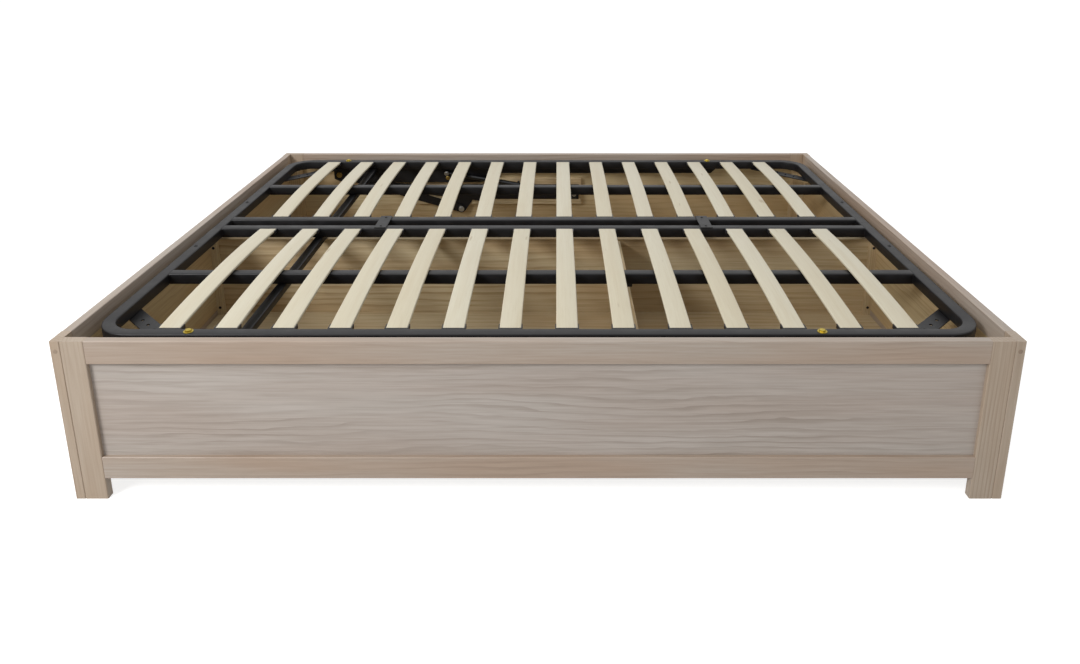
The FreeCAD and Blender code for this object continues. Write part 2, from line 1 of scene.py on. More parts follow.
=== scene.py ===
# A storage bed base of washed pine with a black steel slat frame that lifts up.
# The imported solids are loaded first, in metres: X along the bed, Y across it, Z up.
import bpy
import json
import math
import numpy as np
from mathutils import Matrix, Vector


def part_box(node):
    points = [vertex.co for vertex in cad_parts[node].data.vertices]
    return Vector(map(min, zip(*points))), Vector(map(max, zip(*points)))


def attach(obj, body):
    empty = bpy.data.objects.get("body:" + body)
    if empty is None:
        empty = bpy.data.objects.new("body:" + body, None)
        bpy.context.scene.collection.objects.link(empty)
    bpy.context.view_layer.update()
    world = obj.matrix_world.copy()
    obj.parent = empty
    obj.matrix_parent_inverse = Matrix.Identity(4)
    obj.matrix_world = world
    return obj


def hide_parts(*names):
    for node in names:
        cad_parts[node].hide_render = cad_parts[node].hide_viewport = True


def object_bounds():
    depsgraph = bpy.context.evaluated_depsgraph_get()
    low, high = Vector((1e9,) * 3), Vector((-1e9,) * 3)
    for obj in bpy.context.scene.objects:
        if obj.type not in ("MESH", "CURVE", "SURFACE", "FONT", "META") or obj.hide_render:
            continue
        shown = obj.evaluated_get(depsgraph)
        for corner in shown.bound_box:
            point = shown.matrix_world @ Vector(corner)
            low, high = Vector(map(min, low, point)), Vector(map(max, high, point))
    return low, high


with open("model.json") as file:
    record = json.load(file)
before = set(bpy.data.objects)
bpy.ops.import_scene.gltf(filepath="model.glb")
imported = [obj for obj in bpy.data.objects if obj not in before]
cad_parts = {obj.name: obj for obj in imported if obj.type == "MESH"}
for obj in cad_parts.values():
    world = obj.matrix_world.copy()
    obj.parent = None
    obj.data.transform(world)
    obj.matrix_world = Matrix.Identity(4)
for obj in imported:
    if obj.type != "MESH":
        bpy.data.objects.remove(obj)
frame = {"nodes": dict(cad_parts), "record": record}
nodes = frame["nodes"]
solid_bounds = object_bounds()


# ------------------------------------------------------------------ pine box
# Four frame-and-panel sides of planed pine, stained a washed grey-brown. The
# rails and stiles are stained all over. The panels are stained on the outside
# only and stay bare inside, which shows as yellow wood between the slats.

def linear(colour):
    """The linear colour of an sRGB hex value, by the sRGB curve for each channel."""
    parts = [int(colour[i:i + 2], 16) / 255 for i in (1, 3, 5)]
    return tuple(p / 12.92 if p <= 0.04045 else ((p + 0.055) / 1.055) ** 2.4 for p in parts) + (1.0,)


def add(tree, kind, inputs=(), **settings):
    """Adds a shader node, sets its options, and sets or links its inputs by name or number."""
    new = tree.nodes.new(kind)
    for name, setting in settings.items():
        setattr(new, name, setting)
    for name, given in dict(inputs).items():
        if isinstance(given, bpy.types.NodeSocket):
            tree.links.new(given, new.inputs[name])
        else:
            new.inputs[name].default_value = given
    return new


def new_material(name):
    """An empty node material and its tree."""
    material = bpy.data.materials.new(name)
    material.use_nodes = True
    material.node_tree.nodes.clear()
    return material, material.node_tree


def finish_with(material, name):
    """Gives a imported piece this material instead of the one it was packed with."""
    slots = nodes[name].data.materials
    slots.clear()
    slots.append(material)


def sawn_figure(tree, along, across, shift, ring_mm, sway_mm):
    """What sawing shows of a softwood log, as three patterns from 0 to 1. The place across
    the board, swayed by slow noise, over the ring width gives a ring count: its fraction
    climbs through the pale early wood to a thin dark line and drops. Fibres are fine noise
    drawn out along the board, and patches are broad noise, for uneven stain or sap."""
    where = add(tree, "ShaderNodeTexCoord").outputs["Object"]
    axis = "XYZ".index(along)
    # Cycles in a metre across the board, then along it. Fibres are 4 mm wide and 140 mm
    # long: real ones are finer than 1 mm, and are drawn this coarse so that they show.
    slow, fine, broad = [9.0] * 3, [240.0] * 3, [8.0] * 3
    slow[axis], fine[axis], broad[axis] = 1.6, 7.0, 1.1
    noises = []
    for scale, place, detail in ((slow, shift, 4.0), (fine, 0.0, 4.0),
                                 (broad, 3 * shift, 2.0), (slow, 7 * shift, 3.0)):
        moved = add(tree, "ShaderNodeMapping", {"Vector": where, "Location": (place, 2 * place, 3 * place),
                                                "Scale": scale}).outputs[0]
        noises.append(add(tree, "ShaderNodeTexNoise", {"Vector": moved, "Scale": 1.0, "Detail": detail,
                                                       "Roughness": 0.55}).outputs["Fac"])
    sway, fibres, patches, presence = noises
    depth = add(tree, "ShaderNodeVectorMath", {0: where, 1: [1000 / ring_mm * part for part in across]},
                operation="DOT_PRODUCT").outputs["Value"]
    count = add(tree, "ShaderNodeMath", {0: sway, 1: 2 * sway_mm / ring_mm, 2: depth},
                operation="MULTIPLY_ADD").outputs[0]
    turn = add(tree, "ShaderNodeMath", {0: count}, operation="FRACT").outputs[0]
    climb = add(tree, "ShaderNodeMapRange", {"Value": turn, "From Min": 0.45, "From Max": 0.93},
                interpolation_type="SMOOTHSTEP").outputs[0]
    drop = add(tree, "ShaderNodeMapRange", {"Value": turn, "From Min": 1.0, "From Max": 0.95}).outputs[0]
    line = add(tree, "ShaderNodeMath", {0: climb, 1: drop}, operation="MINIMUM").outputs[0]
    strength = add(tree, "ShaderNodeMapRange", {"Value": presence, "From Min": 0.42, "From Max": 0.64,
                                                "To Min": 0.08}).outputs[0]
    lines = add(tree, "ShaderNodeMath", {0: line, 1: strength}, operation="MULTIPLY").outputs[0]
    return where, lines, fibres, patches


def wood_colour(tree, figure, light, warm, line):
    """Mixes light and warm wood by the patches, then the line colour by lines and fibres."""
    _, lines, fibres, patches = figure
    spread = add(tree, "ShaderNodeMapRange", {"Value": patches, "From Min": 0.38,
                                              "From Max": 0.62}).outputs[0]
    tone = add(tree, "ShaderNodeMix", {0: spread, 6: linear(light), 7: linear(warm)},
               data_type="RGBA").outputs[2]
    dark = add(tree, "ShaderNodeMapRange", {"Value": lines, "To Max": 0.6}).outputs[0]
    lined = add(tree, "ShaderNodeMix", {0: dark, 6: tone, 7: linear(line)}, data_type="RGBA").outputs[2]
    faint = add(tree, "ShaderNodeMapRange", {"Value": fibres, "From Min": 0.35, "From Max": 0.75,
                                             "To Max": 0.42}).outputs[0]
    return add(tree, "ShaderNodeMix", {0: faint, 6: lined, 7: linear(line)}, data_type="RGBA").outputs[2]


def wood_surface(tree, figure, colour, gloss, rough, relief_mm, coat=0.0):
    """Ends a wood: the fibres roughen it, and lines and fibres stand as shallow relief."""
    _, lines, fibres, _ = figure
    rise = add(tree, "ShaderNodeMath", {0: lines, 1: fibres}, operation="ADD").outputs[0]
    bump = add(tree, "ShaderNodeBump", {"Height": rise, "Distance": relief_mm / 1000}).outputs[0]
    roughness = add(tree, "ShaderNodeMapRange", {"Value": fibres, "From Min": 0.3, "From Max": 0.7,
                                                 "To Min": gloss, "To Max": rough}).outputs[0]
    shader = add(tree, "ShaderNodeBsdfPrincipled", {"Base Color": colour, "Roughness": roughness,
                                                    "IOR": 1.5, "Normal": bump, "Coat Weight": coat,
                                                    "Coat Roughness": 0.3})
    add(tree, "ShaderNodeOutputMaterial", {"Surface": shader.outputs[0]})


def stained_pine(name, along, across, shift, light, warm, line, ring_mm, sway_mm, bare_inside=None):
    """Planed pine under a thin washed stain and matt lacquer. The stain sinks into the soft
    early wood, and the hard late wood stays as thin darker lines. bare_inside gives an
    axis and a distance from the bed's middle: nearer than that, the wood has no stain."""
    material, tree = new_material(name)
    figure = sawn_figure(tree, along, across, shift, ring_mm, sway_mm)
    colour = wood_colour(tree, figure, light, warm, line)
    if bare_inside:
        axis, stain_starts = bare_inside
        place = add(tree, "ShaderNodeSeparateXYZ", {"Vector": figure[0]}).outputs[axis]
        distance = add(tree, "ShaderNodeMath", {0: place}, operation="ABSOLUTE").outputs[0]
        inside = add(tree, "ShaderNodeMath", {0: distance, 1: stain_starts},
                     operation="LESS_THAN").outputs[0]
        bare = wood_colour(tree, figure, "#c9b892", "#c0a67c", "#9c8058")
        colour = add(tree, "ShaderNodeMix", {0: inside, 6: colour, 7: bare}, data_type="RGBA").outputs[2]
    wood_surface(tree, figure, colour, gloss=0.46, rough=0.62, relief_mm=0.12, coat=0.3)
    return material


# Growth rings cross a rail or panel from bottom to top, and a stile from side to side.
stain_depth = 0.003
for side, along, inward, shift in (
    ("front", "X", "Y", 0.11), ("back", "X", "Y", 0.37), ("foot", "Y", "X", 0.23), ("head", "Y", "X", 0.53),
):
    wide = (1, 0.35, 0) if along == "X" else (0.35, 1, 0)
    thick = (0, 0.5, 1) if along == "X" else (0.5, 0, 1)
    outer_face = max(abs(corner["XYZ".index(inward)]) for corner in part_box(f"{side}_field_panel"))
    stile = stained_pine(f"stained_stile_{side}", "Z", wide, shift, "#ae9e8c", "#a6917b", "#8e7964",
                         ring_mm=9, sway_mm=6)
    rail = stained_pine(f"stained_rail_{side}", along, thick, shift, "#ab9f93", "#a6917f", "#8b7867",
                        ring_mm=15, sway_mm=30)
    field = stained_pine(f"stained_panel_{side}", along, thick, shift + 0.3, "#b2a9a1", "#aa9d93", "#877b6f",
                         ring_mm=20, sway_mm=44, bare_inside=(inward, outer_face - stain_depth))
    for board_name, pine in (("stile_left", stile), ("stile_right", stile), ("bottom_rail", rail),
                             ("top_rail", rail), ("field_panel", field)):
        finish_with(pine, f"{side}_{board_name}")


# ------------------------------------------------------------ inside of the box
# Corner posts, battens, cleats, joist and lift boards are bare planed pine. The
# floor, the long partition and the cross divider are bare sanded pine boards.

def bare_pine(name, along, across, shift, ring_mm):
    """Planed softwood with no finish: pale yellow early wood, amber late wood and no gloss."""
    material, tree = new_material(name)
    figure = sawn_figure(tree, along, across, shift, ring_mm, sway_mm=26)
    wood_surface(tree, figure, wood_colour(tree, figure, "#ccbc9a", "#c2aa84", "#967a52"),
                 gloss=0.6, rough=0.75, relief_mm=0.15)
    return material


for name, along, across, shift, ring_mm in (
    ("corner_posts", "Z", (1, 0.6, 0), 0.2, 8), ("partition_battens", "Z", (1, 0.6, 0), 0.3, 6),
    ("floor_cleats", "X", (0, 0.6, 1), 0.4, 8), ("floor_joist", "X", (0, 1, 0.4), 0.6, 10),
    ("mounting_board_front", "X", (0, 0.5, 1), 0.1, 14),
    ("mounting_board_back", "X", (0, 0.5, 1), 0.35, 14),
    ("floor_front", "X", (0, 1, 0.4), 0.5, 24), ("floor_back", "X", (0, 1, 0.4), 0.7, 24),
    ("centre_partition", "X", (0, 0.5, 1), 0.9, 22), ("cross_divider", "Y", (0.5, 0, 1), 0.15, 18),
):
    finish_with(bare_pine(f"bare_{name}", along, across, shift, ring_mm), name)


# ------------------------------------------------------ plugs in the end panels
# Turned pine plugs glued over the screws that pull each end panel on to the long
# sides. Their end grain takes the stain darker than the stile round them.

def turned(profile, centre, axis, sides=24):
    """A closed skin, as points, faces and end caps, that turns a profile about an axis: each
    point is the centre, plus the axis times the profile's first number, plus the radial
    direction times its second."""
    axis = np.array(axis, float)
    first = np.cross(axis, (0, 0, 1) if abs(axis[2]) < 0.9 else (1, 0, 0))
    first /= np.linalg.norm(first)
    angle = np.arange(sides) * math.tau / sides
    radial = np.cos(angle)[:, None] * first + np.sin(angle)[:, None] * np.cross(axis, first)
    profile = np.array(profile, float)
    points = (np.array(centre, float) + profile[:, None, :1] * axis
              + profile[:, None, 1:] * radial[None])
    return woven(points)


def woven(points):
    """The closed skin of a grid of rings: a quad between each pair of neighbours, and a cap
    on the first and on the last ring."""
    rows, around = points.shape[:2]
    here = np.arange(rows * around).reshape(rows, around)
    beside = np.roll(here, -1, 1)
    faces = np.stack([here[:-1], beside[:-1], beside[1:], here[1:]], -1).reshape(-1, 4)
    caps = here[0][::-1], here[-1]
    return points.reshape(-1, 3), faces, caps


def make_piece(name, parts, material, body, smooth=35, replaced=()):
    """One mesh object from several closed skins, smooth where faces meet under the angle."""
    points, faces, total = [], [], 0
    for part_points, part_faces, caps in parts:
        points.append(part_points)
        faces += [[int(corner) + total for corner in face] for face in [*part_faces, *caps]]
        total += len(part_points)
    mesh = bpy.data.meshes.new(name)
    mesh.from_pydata(np.concatenate(points).tolist(), [], faces)
    mesh.materials.append(material)
    mesh.shade_smooth()
    mesh.set_sharp_from_angle(angle=math.radians(smooth))
    piece = bpy.data.objects.new(name, mesh)
    bpy.context.scene.collection.objects.link(piece)
    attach(piece, body)
    if replaced:
        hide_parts(*replaced)


low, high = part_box("front_stile_left")
stile_thick = high.y - low.y
low, high = solid_bounds
plug_radius, plug_drop, sunk, proud, eased = 0.005, 0.024, 0.003, 0.0004, 0.0006
plugs = [turned([(-sunk, plug_radius), (proud / 2, plug_radius), (proud, plug_radius - eased)],
                (sx * (high.x - stile_thick / 2), sy * high.y, high.z - plug_drop), (0, sy, 0))
         for sx in (-1, 1) for sy in (-1, 1)]
end_grain = stained_pine("stained_plug_end_grain", "Y", (1, 0, 0.4), 0.8, "#9a8773", "#8b7763", "#6d5b4a",
                         ring_mm=2.5, sway_mm=2)
make_piece("panel_plugs", plugs, end_grain, "box")


# ---------------------------------------------------------- steel slat frame
# Square tube with soft corners, bent cold at the frame's four corners, welded
# and powder-coated black. The coat is thin, slightly rippled and half glossy.

def powder_coat(name, colour, dusty, roughness):
    """Baked polyester powder on steel. It dries with a fine orange-peel ripple that breaks
    up highlights, and handling leaves faint paler smears."""
    material, tree = new_material(name)
    where = add(tree, "ShaderNodeTexCoord").outputs["Object"]
    # The real ripple is about 0.5 mm across; it is drawn at 2 mm so that it shows.
    ripple = add(tree, "ShaderNodeTexNoise", {"Vector": where, "Scale": 500.0,
                                              "Detail": 2.0}).outputs["Fac"]
    smears = add(tree, "ShaderNodeTexNoise", {"Vector": where, "Scale": 16.0, "Detail": 5.0,
                                              "Roughness": 0.65}).outputs["Fac"]
    worn = add(tree, "ShaderNodeMapRange", {"Value": smears, "From Min": 0.5,
                                            "From Max": 0.78}).outputs[0]
    tone = add(tree, "ShaderNodeMix", {0: worn, 6: linear(colour), 7: linear(dusty)},
               data_type="RGBA").outputs[2]
    dull = add(tree, "ShaderNodeMapRange", {"Value": smears, "From Min": 0.3, "From Max": 0.7,
                                            "To Min": roughness, "To Max": roughness + 0.14}).outputs[0]
    bump = add(tree, "ShaderNodeBump", {"Height": ripple, "Distance": 0.00006}).outputs[0]
    shader = add(tree, "ShaderNodeBsdfPrincipled", {"Base Color": tone, "Roughness": dull, "IOR": 1.4,
                                                    "Normal": bump})
    add(tree, "ShaderNodeOutputMaterial", {"Surface": shader.outputs[0]})
    return material


black_coat = powder_coat("black_powder_coat", "#0b0a0c", "#19181b", roughness=0.38)
low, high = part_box("frame_tube_front")
deck, under = high.z, low.z
tube = deck - under
reach_x, reach_y = high.x, -low.y
bend_outside, tube_corner, bar_corner = 0.090, 0.0035, 0.003


def soft_square(width, height, corner, steps=4):
    """A closed profile: a rectangle whose corners are quarter circles."""
    turn = np.linspace(0, math.pi / 2, steps + 1)
    quarters = []
    for number, (sx, sy) in enumerate(((1, 1), (-1, 1), (-1, -1), (1, -1))):
        angle = turn + number * math.pi / 2
        quarters.append(np.stack([sx * (width / 2 - corner) + corner * np.cos(angle),
                                  sy * (height / 2 - corner) + corner * np.sin(angle)], 1))
    return np.concatenate(quarters)


def carried(profile, path, across, up):
    """A closed skin that carries a profile along a path: each point is the path's point plus
    the profile's first number times across plus its second times up, where across is the
    cross product of up and the way forward."""
    return woven(path[:, None] + profile[None, :, :1] * across[:, None]
                 + profile[None, :, 1:] * up[:, None])


def straight(profile, start, end):
    """A profile carried along one straight level run."""
    path = np.array([start, end], float)
    forward = (path[1] - path[0]) / np.linalg.norm(path[1] - path[0])
    up = np.array([0.0, 0.0, 1.0])
    return carried(profile, path, np.tile(np.cross(up, forward), (2, 1)), np.tile(up, (2, 1)))


def bent_half(sy):
    """The U of tube on one long side: end leg, quarter bend, long run, bend, end leg. Each
    bend's points are its centre plus the radius times the cosine and sine of the turn. The
    two halves stop just short of each other, at a fine joint on the bed's centre line."""
    radius, half_joint = bend_outside - tube / 2, 0.0002
    x, y = reach_x - tube / 2 - radius, reach_y - tube / 2 - radius
    turn = np.linspace(0, math.pi / 2, 13)
    left = np.stack([-x - radius * np.cos(turn), -y - radius * np.sin(turn)], 1)
    right = np.stack([x + radius * np.sin(turn), -y - radius * np.cos(turn)], 1)
    flat = np.concatenate([[[-x - radius, -half_joint]], left, right, [[x + radius, -half_joint]]])
    heading = np.concatenate([[0], turn, turn + math.pi / 2, [math.pi]])
    across = np.stack([np.cos(heading), np.sin(heading), np.zeros_like(heading)], 1)
    path = np.stack([flat[:, 0], flat[:, 1], np.full(len(flat), (deck + under) / 2)], 1)
    if sy > 0:
        path, across = path * [-1, -1, 1], across * [-1, -1, 1]
    up = np.tile([0.0, 0.0, 1.0], (len(path), 1))
    return carried(soft_square(tube, tube, tube_corner), path, across, up)


for side, sy in (("front", -1), ("back", 1)):
    make_piece(f"tube_bent_{side}", [bent_half(sy)], black_coat, "slat_frame",
               replaced=[f"frame_tube_{side}"])
rail_names = ("centre_rail_front", "centre_rail_back", "mid_rail_front", "mid_rail_back")
for name in rail_names:
    low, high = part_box(name)
    y, z = (low.y + high.y) / 2, (low.z + high.z) / 2
    rail = straight(soft_square(tube, tube, tube_corner), (low.x, y, z), (high.x, y, z))
    make_piece(f"tube_{name}", [rail], black_coat, "slat_frame", replaced=[name])
for name in ("tie_bar_head", "tie_bar_middle"):
    low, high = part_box(name)
    x, z = (low.x + high.x) / 2, (low.z + high.z) / 2
    bar = straight(soft_square(high.x - low.x, high.z - low.z, bar_corner), (x, low.y, z), (x, high.y, z))
    make_piece(f"tube_{name}", [bar], black_coat, "slat_frame", replaced=[name])


# ------------------------------------------------------------- welds and straps
# A short bead of weld closes both sides of each rail where it meets the end tube. A
# punched flat strap is welded into each corner, and two plates bridge the centre rails.

def weld_bead(start, end, radius=0.0022, ripple=0.0026):
    """A round bead from start to end whose radius swells and falls with each weld ripple."""
    along = np.array(end, float) - np.array(start, float)
    length = np.linalg.norm(along)
    run = np.linspace(0, length, 25)
    swell = radius * (0.86 + 0.14 * np.cos(math.tau * run / ripple))
    swell[[0, -1]] = 0.3 * radius
    return turned(np.stack([run, swell], 1), start, along / length, sides=8)


bead_short = 0.003
beads = [weld_bead((end.x, flank.y, under + bead_short), (end.x, flank.y, deck - bead_short))
         for name in rail_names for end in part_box(name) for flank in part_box(name)]
make_piece("rail_welds", beads, black_coat, "slat_frame", smooth=60)

low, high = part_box("corner_gussets")
gusset_under, gusset_top, gusset_wide, gusset_leg, gusset_lap = low.z, high.z, 0.043, 0.166, 0.0045
hole_pitch, hole_radius, hole_count = 0.025 * math.sqrt(2), 0.0045, 4


def punched_strap(sx, sy):
    """One corner strap. Round each hole, rays from its middle join the edge of a rectangle
    to the hole's circle. The ends are cut parallel to the tubes, so each end moves along by
    as much as it goes aside. Walls join the outline and the circles, top to bottom."""
    half, steps = gusset_wide / 2, 6
    step = np.linspace(-1, 1, steps + 1)[:-1]
    one = np.ones(steps)
    edge = np.concatenate([np.stack([step, -one], 1), np.stack([one, step], 1),
                           np.stack([-step, one], 1), np.stack([-one, -step], 1)]) * (hole_pitch / 2, half)
    circle = hole_radius * edge / np.linalg.norm(edge, axis=1)[:, None]
    spots = (np.arange(hole_count) - (hole_count - 1) / 2) * hole_pitch
    reach = (gusset_leg + 2 * gusset_lap - gusset_wide / math.sqrt(2)) / math.sqrt(2)
    tips = [(-reach - half, -half), (reach + half, -half), (reach - half, half), (-reach + half, half)]
    flat = np.concatenate([np.concatenate([edge, circle]) + (spot, 0) for spot in spots] + [tips])
    flat, number = np.unique(np.round(flat, 7), axis=0, return_inverse=True)
    number = number.ravel()
    edges, circles = number[:-4].reshape(hole_count, 2, 4 * steps).swapaxes(0, 1)
    left_low, right_low, right_high, left_high = number[-4:]
    edges_after, circles_after = np.roll(edges, -1, 1), np.roll(circles, -1, 1)
    top = np.stack([edges, edges_after, circles_after, circles], -1).reshape(-1, 4).tolist()
    top.append([*edges[-1, 2 * steps:steps - 1:-1], right_low, right_high])
    top.append([left_high, left_low, edges[0, 0], *edges[0, :3 * steps - 1:-1]])
    outline = [left_low, *edges[:, :steps].ravel(), edges[-1, steps], right_low, right_high,
               *edges[::-1, 2 * steps:3 * steps].ravel(), edges[0, 3 * steps], left_high]
    total = len(flat)
    bottom = [[corner + total for corner in reversed(face)] for face in top]
    sides = [[p, p + total, q + total, q] for p, q in zip(outline, outline[1:] + outline[:1])]
    bores = [[p, q, q + total, p + total] for p, q in zip(circles.ravel(), circles_after.ravel())]
    along, aside = np.array([sx, -sy, 0]) / math.sqrt(2), np.array([sx, sy, 0]) / math.sqrt(2)
    inset = gusset_leg / 2 - gusset_wide * math.sqrt(2) / 4
    middle = np.array([sx * (reach_x - tube - inset), sy * (reach_y - tube - inset), 0])
    spread = middle + flat[:, :1] * along + flat[:, 1:] * aside
    faces = top + bottom + sides + bores
    points = np.concatenate([spread + (0, 0, gusset_top), spread + (0, 0, gusset_under)])
    return points, (faces if sx * sy > 0 else [face[::-1] for face in faces]), ()


straps = [punched_strap(sx, sy) for sx in (-1, 1) for sy in (-1, 1)]
make_piece("punched_gussets", straps, black_coat, "slat_frame", smooth=30,
           replaced=["corner_gussets"])
for name in ("bridge_plates", "splice_sleeves"):
    finish_with(black_coat, name)


# ------------------------------------------------------------- bolts and screws
# Yellow-passivated hexagon bolts hold the lift brackets to the long tubes, and black
# pan-head screws hold the bridges and the sleeves that splice the two end tubes.

def plated_steel(name, colour, tint, roughness):
    """Metal plate on steel, such as zinc passivated to the given colour: its thin film
    wanders between two tints, and its crystals make it finely rough."""
    material, tree = new_material(name)
    where = add(tree, "ShaderNodeTexCoord").outputs["Object"]
    film = add(tree, "ShaderNodeTexNoise", {"Vector": where, "Scale": 90.0, "Detail": 2.0}).outputs["Fac"]
    # Real crystals are far finer; they are drawn at 0.7 mm so that they show.
    grit = add(tree, "ShaderNodeTexNoise", {"Vector": where, "Scale": 1400.0, "Detail": 1.0}).outputs["Fac"]
    tone = add(tree, "ShaderNodeMix", {0: film, 6: linear(colour), 7: linear(tint)},
               data_type="RGBA").outputs[2]
    dull = add(tree, "ShaderNodeMapRange", {"Value": grit, "To Min": roughness,
                                            "To Max": roughness + 0.2}).outputs[0]
    bump = add(tree, "ShaderNodeBump", {"Height": grit, "Distance": 0.00002}).outputs[0]
    shader = add(tree, "ShaderNodeBsdfPrincipled", {"Base Color": tone, "Metallic": 1.0, "Roughness": dull,
                                                    "Normal": bump})
    add(tree, "ShaderNodeOutputMaterial", {"Surface": shader.outputs[0]})
    return material


def hexagon_head(centre, axis, across, height):
    """A washer, then a six-sided head whose top corners are turned off. The washer is 1.7
    times as wide as the head is across its flats, and its upper edge is rounded."""
    washer, washer_top, washer_edge = across * 0.85, 0.0014, 0.0011
    corner, ease = across / 2 / math.cos(math.pi / 6), 0.001
    return [turned([(0, washer), (washer_edge, washer), (washer_top, across * 0.82)], centre, axis),
            turned([(ease, corner), (height - ease, corner), (height, corner * 0.84)], centre, axis,
                   sides=6)]


def pan_head(centre, axis, radius, height):
    """A round head: it falls from the middle as a quarter ellipse, with a sunk recess."""
    angle = np.linspace(0, math.pi / 2 * 0.8, 6)
    dome = np.stack([height * np.sin(angle), radius * np.cos(angle)], 1)
    recess = [(height * 0.96, radius * 0.28), (height * 0.5, radius * 0.26)]
    return turned(np.concatenate([dome, recess]), centre, axis, sides=20)


yellow_zinc = plated_steel("yellow_passivated_zinc", "#c3b04f", "#a08a34", roughness=0.3)
head_bolt_x, foot_bolt_x = -0.790, 0.640
tube_y = reach_y - tube / 2
heads = []
for x in (head_bolt_x, foot_bolt_x):
    for sy in (-1, 1):
        heads += hexagon_head((x, sy * tube_y, deck), (0, 0, 1), across=0.013, height=0.0055)
make_piece("bracket_bolts", heads, yellow_zinc, "slat_frame", smooth=25)

low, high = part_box("bridge_plates")
bridge_screw_inset, bridge_screw_y, sleeve_screw_y = 0.018, 0.040, 0.207
screws = [pan_head((sx * (high.x - bridge_screw_inset), sy * bridge_screw_y, high.z), (0, 0, 1),
                   radius=0.0045, height=0.0022) for sx in (-1, 1) for sy in (-1, 1)]
screws += [pan_head((sx * (reach_x - tube / 2), sy * sleeve_screw_y, deck), (0, 0, 1),
                    radius=0.0055, height=0.0026) for sx in (-1, 1) for sy in (-1, 1)]
make_piece("frame_screws", screws, black_coat, "slat_frame")


# ------------------------------------------------------------- batten screws
# Black wood screws, two in each upright batten, hold it through the end of the long
# partition. They are screwed in from the batten's open face.

low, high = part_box("partition_battens")
batten_wide = high.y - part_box("centre_partition")[1].y
lower_screw_z, upper_screw_z = 0.108, 0.309
heads = [pan_head((sx * (high.x - batten_wide / 2), sy * high.y, z), (0, sy, 0),
                  radius=0.0045, height=0.0026)
         for sx in (-1, 1) for sy in (-1, 1) for z in (lower_screw_z, upper_screw_z)]
make_piece("batten_screws", heads, black_coat, "box")


# ---------------------------------------------------------------- slats
# Strips of laminated birch, pressed to a crown and sanded with round edges.
# They are clear-lacquered, pale cream, and each has its own slight tone.

def lacquered_birch():
    """Rotary-cut birch veneer: nearly even cream, with faint long fibres and pin marks."""
    material, tree = new_material("lacquered_birch")
    where = add(tree, "ShaderNodeTexCoord").outputs["Object"]
    noises = []
    # Cycles in a metre for the fibres, the broad streaks, the tone of each slat and the pin
    # marks. Fibres are drawn 3 mm wide, coarser than real ones, so that they show. The third
    # noise has about one cycle to a slat's pitch, so that each slat gets a tone of its own.
    for scale, detail, roughness in (((300.0, 5.0, 300.0), 4.0, 0.6), ((45.0, 2.2, 45.0), 2.0, 0.5),
                                     ((7.72, 0.5, 0.0), 0.0, 0.5), ((60.0, 9.0, 60.0), 1.0, 0.5)):
        moved = add(tree, "ShaderNodeMapping", {"Vector": where, "Scale": scale}).outputs[0]
        noises.append(add(tree, "ShaderNodeTexNoise", {"Vector": moved, "Scale": 1.0, "Detail": detail,
                                                       "Roughness": roughness}).outputs["Fac"])
    fibres, streaks, slat_tone, pins = noises
    tone = linear("#d0c9b3")
    for noise, start, full, share, shade in (
        (slat_tone, 0.35, 0.65, 1.0, "#cdc4ab"), (streaks, 0.45, 0.75, 0.4, "#c2b496"),
        (fibres, 0.45, 0.8, 0.3, "#b7a889"), (pins, 0.74, 0.8, 0.5, "#9c8560"),
    ):
        part = add(tree, "ShaderNodeMapRange", {"Value": noise, "From Min": start, "From Max": full,
                                                "To Max": share}).outputs[0]
        tone = add(tree, "ShaderNodeMix", {0: part, 6: tone, 7: linear(shade)},
                   data_type="RGBA").outputs[2]
    bump = add(tree, "ShaderNodeBump", {"Height": fibres, "Distance": 0.00006}).outputs[0]
    shader = add(tree, "ShaderNodeBsdfPrincipled", {"Base Color": tone, "Roughness": 0.42, "IOR": 1.5,
                                                    "Normal": bump})
    add(tree, "ShaderNodeOutputMaterial", {"Surface": shader.outputs[0]})
    return material


def crowned_slats(node):
    """A row of slats: a soft rectangle carried along an arc of the crown's radius. Each
    slat's two ends are cut back a little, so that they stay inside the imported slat."""
    low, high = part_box(node)
    count, width, thick, edge_radius, cut_back = 14, 0.050, 0.008, 0.0028, 0.0003
    span, rise = high.y - low.y, high.z - low.z - thick
    radius = (span ** 2 / 4 + rise ** 2) / (2 * rise)
    angle = np.linspace(-1, 1, 25) * math.asin(span / 2 / radius)
    middle = low.z + thick / 2 + rise - radius
    across = np.tile([-1.0, 0.0, 0.0], (len(angle), 1))
    up = np.stack([np.zeros_like(angle), np.sin(angle), np.cos(angle)], 1)
    slats = []
    for x in np.linspace(low.x + width / 2, high.x - width / 2, count):
        path = np.stack([np.full_like(angle, x), (low.y + high.y) / 2 + radius * np.sin(angle),
                         middle + radius * np.cos(angle)], 1)
        path[[0, -1], 1] += (cut_back, -cut_back)
        slats.append(carried(soft_square(width, thick, edge_radius), path, across, up))
    return slats


birch = lacquered_birch()
for side in ("front", "back"):
    make_piece(f"birch_slats_{side}", crowned_slats(f"slats_{side}_row"), birch, "slat_frame",
               replaced=[f"slats_{side}_row"])


# ---------------------------------------------------------- slat holders
# Open saddles of black injection-moulded plastic, one under each end of each slat. They
# are clipped to the rails, and the slat's end slides into the saddle and rests in it.

